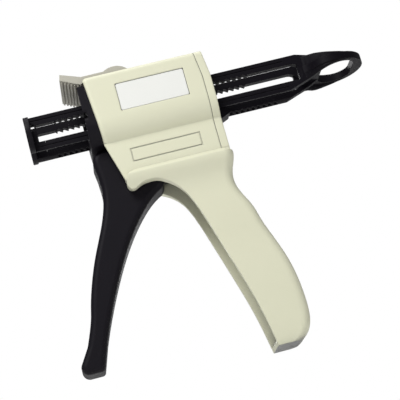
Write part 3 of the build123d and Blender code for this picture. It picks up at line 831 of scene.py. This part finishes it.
@dataclass
class ScrewSet:
    """The housing screws on the side without the label, set out by a node tree."""

    places: tuple[tuple[float, float, float], ...] = (
        (42.0, 13.9, 23.0), (56.5, -28.0, 17.5), (71.5, -88.0, 14.5), (75.0, -134.0, 14.5))
    recess: float = 2.4
    head_radius: float = 2.8
    head_height: float = 2.0
    head_edge: float = 0.5
    edge_steps: int = 4
    head_steps: int = 40
    shank_radius: float = 1.5
    shank_steps: int = 24
    tip_y: float = -8.0
    tip_chamfer: float = 0.6
    cross_length: float = 3.1
    cross_width: float = 0.75
    cross_depth: float = 1.1
    smooth_angle: float = 35.0

    def build(self, book: MaterialBook) -> None:
        """Makes the four screws.

        Args:
            book: finishes.
        """
        places = bpy.data.meshes.new("screw_places")
        places.from_pydata([mm(x, face_y - self.recess, z) for x, z, face_y in self.places], [], [])
        head = linked("screw_head", self.head_mesh())
        steel = book.get(STEEL)
        mesh = grown_mesh("screw_places", places, self.tree(steel), {"Screw": head})
        bpy.data.objects.remove(head)
        self.add_shanks(mesh)
        shade_smooth(mesh, self.smooth_angle)
        piece = new_piece("shell_screws", mesh, steel, Body.HOUSING)
        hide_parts("housing_screws")

    def head_mesh(self) -> bpy.types.Mesh:
        """Makes one domed head with a cross recess, its seat at the origin and its crown towards +Y.

        Returns:
            The mesh of the head.
        """
        shoulder, edge = self.head_height - self.head_edge, self.head_edge
        dome = [(0.0, 0.0), (0.0, self.head_radius), (shoulder, self.head_radius)]
        for step in range(1, self.edge_steps + 1):
            turn = math.radians(90 * step / self.edge_steps)
            dome.append((shoulder + edge * math.sin(turn), self.head_radius - edge * (1 - math.cos(turn))))
        dome.append((self.head_height, 0.0))
        turned = lathe(dome, self.head_steps)
        turned.transform(Matrix.Rotation(math.radians(90), 4, "Z"))
        body = linked("head_body", finished_mesh(turned, "screw_head"))
        cutter = bmesh.new()
        for length, width in ((self.cross_length, self.cross_width), (self.cross_width, self.cross_length)):
            box = bmesh.ops.create_cube(cutter, size=1.0)
            bmesh.ops.scale(cutter, vec=mm(length, 2 * self.cross_depth, width), verts=box["verts"])
            bmesh.ops.translate(cutter, vec=mm(0, self.head_height, 0), verts=box["verts"])
        cross = linked("cross", finished_mesh(cutter, "cross"))
        cut = body.modifiers.new("cross", "BOOLEAN")
        cut.object = cross
        cut.operation = "DIFFERENCE"
        cut.use_self = True
        finished = evaluated_mesh(body)
        for thing in (body, cross):
            bpy.data.objects.remove(thing)
        return finished

    def tree(self, material: bpy.types.Material) -> bpy.types.NodeTree:
        """Builds the node tree that puts a screw on each point.

        Args:
            material: finish of the screws.

        Returns:
            The node tree.
        """
        tree = bpy.data.node_groups.new("screw_pattern", "GeometryNodeTree")
        tree.interface.new_socket(name="Geometry", in_out="INPUT", socket_type="NodeSocketGeometry")
        tree.interface.new_socket(name="Screw", in_out="INPUT", socket_type="NodeSocketObject")
        tree.interface.new_socket(name="Geometry", in_out="OUTPUT", socket_type="NodeSocketGeometry")
        source = tree.nodes.new("NodeGroupInput")
        sink = tree.nodes.new("NodeGroupOutput")
        info = tree.nodes.new("GeometryNodeObjectInfo")
        place = tree.nodes.new("GeometryNodeInstanceOnPoints")
        real = tree.nodes.new("GeometryNodeRealizeInstances")
        paint = tree.nodes.new("GeometryNodeSetMaterial")
        paint.inputs["Material"].default_value = material
        connect(tree, (
            (source, "Geometry", place, "Points"),
            (source, "Screw", info, "Object"),
            (info, "Geometry", place, "Instance"),
            (place, "Instances", real, "Geometry"),
            (real, "Geometry", paint, "Geometry"),
            (paint, "Geometry", sink, "Geometry"),
        ))
        return tree

    def add_shanks(self, mesh: bpy.types.Mesh) -> None:
        """Adds each screw's shank, from under its head to its tip.

        Args:
            mesh: mesh of the heads, changed in place.
        """
        made = bmesh.new()
        made.from_mesh(mesh)
        for x, z, face_y in self.places:
            seat_y = face_y - self.recess
            shank = [(self.tip_y, 0.0), (self.tip_y + self.tip_chamfer, self.shank_radius),
                     (seat_y, self.shank_radius), (seat_y, 0.0)]
            turned = lathe(shank, self.shank_steps)
            turned.transform(Matrix.Translation(mm(x, 0, z)) @ Matrix.Rotation(math.radians(90), 4, "Z"))
            part = finished_mesh(turned, "shank")
            made.from_mesh(part)
            bpy.data.meshes.remove(part)
        made.to_mesh(mesh)
        made.free()


@dataclass
class Plunger:
    """The toothed rods with their finger loop, and the two pushing discs."""

    disc_y: float = 10.5
    disc_radius: float = 9.9
    front_x: float = -37.0
    back_x: float = -34.0
    rim: float = 1.2
    rim_draft: tuple[float, float, float] = (-0.1, 0.2, 0.35)
    rim_break: float = 0.1
    dish: float = 0.45
    edge: float = 0.45
    edge_steps: int = 4
    boss_radius: float = 2.6
    boss_draft: tuple[float, float] = (-0.2, 0.1)
    disc_steps: int = 96
    bead_x: tuple[float, float] = (-27.9, 115.0)
    bead_y: tuple[float, float] = (6.05, 10.35)
    bead_z: tuple[float, float] = (-5.9, -4.6)
    bead_edge: float = 0.35
    flank_stations: tuple[tuple[float, float, float, float], ...] = (
        (115.0, 10.2, 8.6, -6.9),
        (118.0, 10.2, 8.2, -6.1),
        (120.0, 11.1, 7.8, -5.7),
        (122.0, 12.9, 7.2, -5.3),
        (125.0, 16.7, 6.1, -4.8),
        (128.0, 19.0, 5.0, -4.2),
        (131.0, 20.0, 4.2, -3.6),
        (134.0, 20.2, 3.5, -3.1),
        (138.0, 19.8, 2.8, -2.6),
        (142.0, 18.2, 2.3, -2.2),
        (146.0, 15.4, 1.9, -1.9),
    )
    flank_width: float = 2.8
    flank_edge: float = 0.7
    smooth_angle: float = 40.0

    def build(self, book: MaterialBook) -> None:
        """Dresses the rods, adds their beads and flanks and turns the discs.

        Args:
            book: finishes.
        """
        dress_node("plunger_frame", book.get(BLACK_GUIDE))
        for side, name in ((-1, "left_disc"), (1, "right_disc")):
            turned = lathe(self.profile(), self.disc_steps)
            turned.transform(Matrix.Translation(mm(0, side * self.disc_y, 0)))
            mesh = finished_mesh(turned, name + "_turned")
            shade_smooth(mesh, self.smooth_angle)
            piece = new_piece(name + "_turned", mesh, book.get(BLACK), Body.PLUNGER)
            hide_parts(name)
        for name, mesh in (("window_beads", self.bead_mesh()), ("loop_flanks", self.flank_mesh())):
            shade_smooth(mesh, self.smooth_angle)
            new_piece(name, mesh, book.get(BLACK_GUIDE), Body.PLUNGER)

    def bead_mesh(self) -> bpy.types.Mesh:
        """Makes the bead along the lower edge of each rod's window.

        Returns:
            The mesh of both beads.
        """
        made = bmesh.new()
        (low_y, high_y), (low_z, high_z), edge = self.bead_y, self.bead_z, self.bead_edge
        section = [(low_y, low_z), (high_y, low_z), (high_y, high_z - edge), (high_y - edge, high_z),
                   (low_y + edge, high_z), (low_y, high_z - edge)]
        for side in (-1, 1):
            rings = [[made.verts.new(mm(x, side * y, z)) for y, z in section] for x in self.bead_x]
            close_rings(made, rings)
        return finished_mesh(made, "window_beads")

    def flank_mesh(self) -> bpy.types.Mesh:
        """Makes the raised flanks on the outline of the finger loop's plate, from the rods to the ring.

        Returns:
            The mesh of both flanks.
        """
        made = bmesh.new()
        edge = self.flank_edge
        for side in (-1, 1):
            rings = []
            for x, outer, top, bottom in self.flank_stations:
                inner = outer - self.flank_width
                section = [(outer, bottom + edge), (outer, top - edge), (outer - edge, top),
                           (inner + edge, top), (inner, top - edge), (inner, bottom + edge),
                           (inner + edge, bottom), (outer - edge, bottom)]
                rings.append([made.verts.new(mm(x, side * y, z)) for y, z in section])
            close_rings(made, rings)
        return finished_mesh(made, "loop_flanks")

    def profile(self) -> list[tuple[float, float]]:
        """Gives the section of a pushing disc.

        Returns:
            (x, radius) points from the front centre to the back centre.
        """
        front, back = self.front_x, self.back_x
        boss_top, boss_foot = (self.boss_radius + draft for draft in self.boss_draft)
        rim_foot, rim_shoulder, rim_top = (self.disc_radius - self.rim + draft for draft in self.rim_draft)
        points = [(front, 0.0), (front, boss_top), (front + self.dish, boss_foot),
                  (front + self.dish, rim_foot), (front + self.rim_break, rim_shoulder), (front, rim_top)]
        turns = [math.radians(90 * step / self.edge_steps) for step in range(self.edge_steps + 1)]
        corner = [(self.edge * (1 - math.sin(turn)), self.disc_radius - self.edge * (1 - math.cos(turn)))
                  for turn in turns]
        points += [(front + inwards, radius) for inwards, radius in reversed(corner)]
        points += [(back - inwards, radius) for inwards, radius in corner]
        return points + [(back, 0.0)]


@dataclass
class TriggerGroup:
    """The trigger with its pawl, and the return spring, wound by a node tree."""

    pin: tuple[float, float] = (17.0, -13.85)
    coil_radius: float = 3.3
    wire_radius: float = 0.45
    start_y: float = 8.75
    height: float = 1.85
    turns: float = 2.0
    turn_steps: int = 40
    wire_sides: int = 10
    smooth_angle: float = 60.0

    def build(self, book: MaterialBook) -> None:
        """Dresses the trigger and its pawl and winds the return spring.

        Args:
            book: finishes.
        """
        finishes = (("trigger", BLACK), ("pawl_pin", STEEL), ("pawl_spring", SPRING), ("drive_pawl", CAST))
        for name, finish in finishes:
            dress_node(name, book.get(finish))
        values = {"Turns": self.turns, "Radius": self.coil_radius * MM, "Height": self.height * MM,
                  "Wire": self.wire_radius * MM}
        empty = bpy.data.meshes.new("coil_carrier")
        mesh = grown_mesh("coil_carrier", empty, self.tree(book.get(SPRING)), values)
        x, z = self.pin
        place = Matrix.Translation(mm(x, self.start_y + self.height, z))
        mesh.transform(place @ Matrix.Rotation(math.radians(90), 4, "X"))
        shade_smooth(mesh, self.smooth_angle)
        piece = new_piece("return_coil", mesh, book.get(SPRING), Body.TRIGGER)
        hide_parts("trigger_spring")

    def tree(self, material: bpy.types.Material) -> bpy.types.NodeTree:
        """Builds the node tree that winds the spring.

        Args:
            material: finish of the wire.

        Returns:
            The node tree.
        """
        tree = bpy.data.node_groups.new("wound_coil", "GeometryNodeTree")
        tree.interface.new_socket(name="Geometry", in_out="INPUT", socket_type="NodeSocketGeometry")
        for name in ("Turns", "Radius", "Height", "Wire"):
            tree.interface.new_socket(name=name, in_out="INPUT", socket_type="NodeSocketFloat")
        tree.interface.new_socket(name="Geometry", in_out="OUTPUT", socket_type="NodeSocketGeometry")
        source = tree.nodes.new("NodeGroupInput")
        sink = tree.nodes.new("NodeGroupOutput")
        spiral = tree.nodes.new("GeometryNodeCurveSpiral")
        spiral.inputs["Resolution"].default_value = self.turn_steps
        circle = tree.nodes.new("GeometryNodeCurvePrimitiveCircle")
        circle.inputs["Resolution"].default_value = self.wire_sides
        tube = tree.nodes.new("GeometryNodeCurveToMesh")
        tube.inputs["Fill Caps"].default_value = True
        real = tree.nodes.new("GeometryNodeRealizeInstances")
        paint = tree.nodes.new("GeometryNodeSetMaterial")
        paint.inputs["Material"].default_value = material
        connect(tree, (
            (source, "Turns", spiral, "Rotations"),
            (source, "Radius", spiral, "Start Radius"),
            (source, "Radius", spiral, "End Radius"),
            (source, "Height", spiral, "Height"),
            (source, "Wire", circle, "Radius"),
            (spiral, "Curve", tube, "Curve"),
            (circle, "Curve", tube, "Profile Curve"),
            (tube, "Mesh", real, "Geometry"),
            (real, "Geometry", paint, "Geometry"),
            (paint, "Geometry", sink, "Geometry"),
        ))
        return tree


@dataclass
class LatchAndRelease:
    """The clamp latch on the nose and the release lever at the rear, with the pins and leaves inside."""

    steel_nodes: tuple[str, ...] = ("trigger_pin", "latch_pin", "release_pin")
    leaf_nodes: tuple[str, ...] = ("latch_spring", "release_spring")

    def build(self, book: MaterialBook) -> None:
        """Dresses both levers and what they turn on.

        Args:
            book: finishes.
        """
        # The latch takes the darker copy of the cream, which is painted shade.
        dress_node("latch_lever", book.get(CREAM_LATCH_PAINTED_SHADE))
        dress_node("release_lever", book.get(BLACK))
        for name in self.steel_nodes:
            dress_node(name, book.get(STEEL))
        for name in self.leaf_nodes:
            dress_node(name, book.get(SPRING))


@dataclass(frozen=True)
class Lamp:
    """A soft square lamp: its place and side in millimetres, and its power in watts."""

    name: str
    place: tuple[float, float, float]
    side: float
    power: float


@dataclass
class Studio:
    """Pale floor, white surroundings, soft lamps and the camera."""

    floor_z: float = -158.0
    floor_half: float = 3000.0
    floor_colour: tuple[float, float, float] = (0.86, 0.86, 0.85)
    floor_roughness: float = 0.9
    floor_fade: tuple[float, float] = (0.35, 1.1)
    target: tuple[float, float, float] = (45.0, 0.0, -54.7)
    azimuth: float = -6.5
    elevation: float = -14.0
    roll: float = -15.6
    distance: float = 780.0
    sensor: float = 36.0
    lens: float = 130.0
    clip_start: float = 10.0
    world_colour: tuple[float, float, float] = (0.96, 0.97, 1.0)
    world_strength: float = 0.24
    lamps: tuple[Lamp, ...] = (
        Lamp("key", (-254.0, -562.0, 582.0), 420.0, 6.4),
        Lamp("top", (60.0, 40.0, 760.0), 520.0, 1.6),
        Lamp("back", (120.0, 780.0, 260.0), 520.0, 3.2),
    )

    def build(self) -> None:
        """Sets up the floor, the world, the lamps and the camera."""
        self.floor()
        self.world()
        for lamp in self.lamps:
            self.hang(lamp)
        self.camera()
        bpy.context.scene.view_settings.view_transform = "Standard"

    def floor(self) -> None:
        """Makes a pale floor that fades to white far off and can't be seen from underneath."""
        low, high = -self.floor_half, self.floor_half
        mesh = bpy.data.meshes.new("floor")
        corners = [mm(x, y, self.floor_z) for x, y in ((low, low), (high, low), (high, high), (low, high))]
        mesh.from_pydata(corners, [], [(0, 1, 2, 3)])
        floor = linked("floor", mesh)
        material = bpy.data.materials.new("pale_floor")
        material.use_nodes = True
        nodes = material.node_tree.nodes
        paint = nodes["Principled BSDF"]
        paint.inputs["Base Color"].default_value = (*self.floor_colour, 1.0)
        paint.inputs["Roughness"].default_value = self.floor_roughness
        clear = nodes.new("ShaderNodeBsdfTransparent")
        choose = nodes.new("ShaderNodeMixShader")
        side = nodes.new("ShaderNodeNewGeometry")
        glow = nodes.new("ShaderNodeEmission")
        glow.inputs["Color"].default_value = WHITE
        where = nodes.new("ShaderNodeTexCoord")
        span = nodes.new("ShaderNodeVectorMath")
        span.operation = "LENGTH"
        fade = nodes.new("ShaderNodeMapRange")
        fade.interpolation_type = "SMOOTHSTEP"
        fade.inputs["From Min"].default_value, fade.inputs["From Max"].default_value = self.floor_fade
        path = nodes.new("ShaderNodeLightPath")
        share = nodes.new("ShaderNodeMath")
        share.operation = "MULTIPLY"
        far = nodes.new("ShaderNodeMixShader")
        connect(material.node_tree, (
            (where, "Object", span, 0),
            (span, "Value", fade, "Value"),
            (fade, "Result", share, 0),
            (path, "Is Camera Ray", share, 1),
            (share, 0, far, "Fac"),
            (paint, 0, far, 1),
            (glow, 0, far, 2),
            (side, "Backfacing", choose, "Fac"),
            (far, 0, choose, 1),
            (clear, 0, choose, 2),
            (choose, 0, nodes["Material Output"], "Surface"),
        ))
        mesh.materials.append(material)

    def world(self) -> None:
        """Makes surroundings that light softly and look white."""
        world = bpy.data.worlds.new("studio")
        bpy.context.scene.world = world
        world.use_nodes = True
        nodes = world.node_tree.nodes
        soft = nodes["Background"]
        soft.inputs["Color"].default_value = (*self.world_colour, 1.0)
        soft.inputs["Strength"].default_value = self.world_strength
        seen = nodes.new("ShaderNodeBackground")
        seen.inputs["Color"].default_value = WHITE
        seen.inputs["Strength"].default_value = 1.0
        path = nodes.new("ShaderNodeLightPath")
        choose = nodes.new("ShaderNodeMixShader")
        connect(world.node_tree, (
            (path, "Is Camera Ray", choose, "Fac"),
            (soft, 0, choose, 1),
            (seen, 0, choose, 2),
            (choose, 0, nodes["World Output"], "Surface"),
        ))

    def hang(self, lamp: Lamp) -> None:
        """Hangs a lamp that points at the object.

        Args:
            lamp: lamp to hang.
        """
        data = bpy.data.lights.new(lamp.name, "AREA")
        data.shape = "SQUARE"
        data.size = lamp.side * MM
        data.energy = lamp.power
        hung = linked(lamp.name, data)
        hung.location = mm(*lamp.place)
        hung.rotation_mode = "QUATERNION"
        hung.rotation_quaternion = (mm(*self.target) - hung.location).to_track_quat("-Z", "Y")

    def camera(self) -> None:
        """Sets the camera at the photograph's angle, roll and distance."""
        turn, rise, roll = (math.radians(value) for value in (self.azimuth, self.elevation, self.roll))
        back = Vector((math.sin(turn) * math.cos(rise), -math.cos(turn) * math.cos(rise), math.sin(rise)))
        right = Vector((math.cos(turn), math.sin(turn), 0.0))
        up = back.cross(right)
        rolled_right = math.cos(roll) * right + math.sin(roll) * up
        rolled_up = back.cross(rolled_right)
        data = bpy.data.cameras.new("camera")
        data.sensor_width = self.sensor
        data.lens = self.lens
        camera = linked("camera", data)
        place = mm(*self.target) + back * self.distance * MM
        axes = Matrix((rolled_right, rolled_up, back)).transposed().to_4x4()
        camera.matrix_world = Matrix.Translation(place) @ axes
        data.clip_start = self.clip_start * MM
        bpy.context.scene.camera = camera


def main() -> None:
    """Builds the sub-assemblies in order, then the studio."""
    logging.basicConfig(level=logging.INFO, format="%(name)s %(message)s")
    book = MaterialBook()
    for group in (Housing(), ScrewSet(), Plunger(), TriggerGroup(), LatchAndRelease()):
        LOG.info("building %s", type(group).__name__)
        group.build(book)
    Studio().build()


if __name__ == "__main__":
    main()
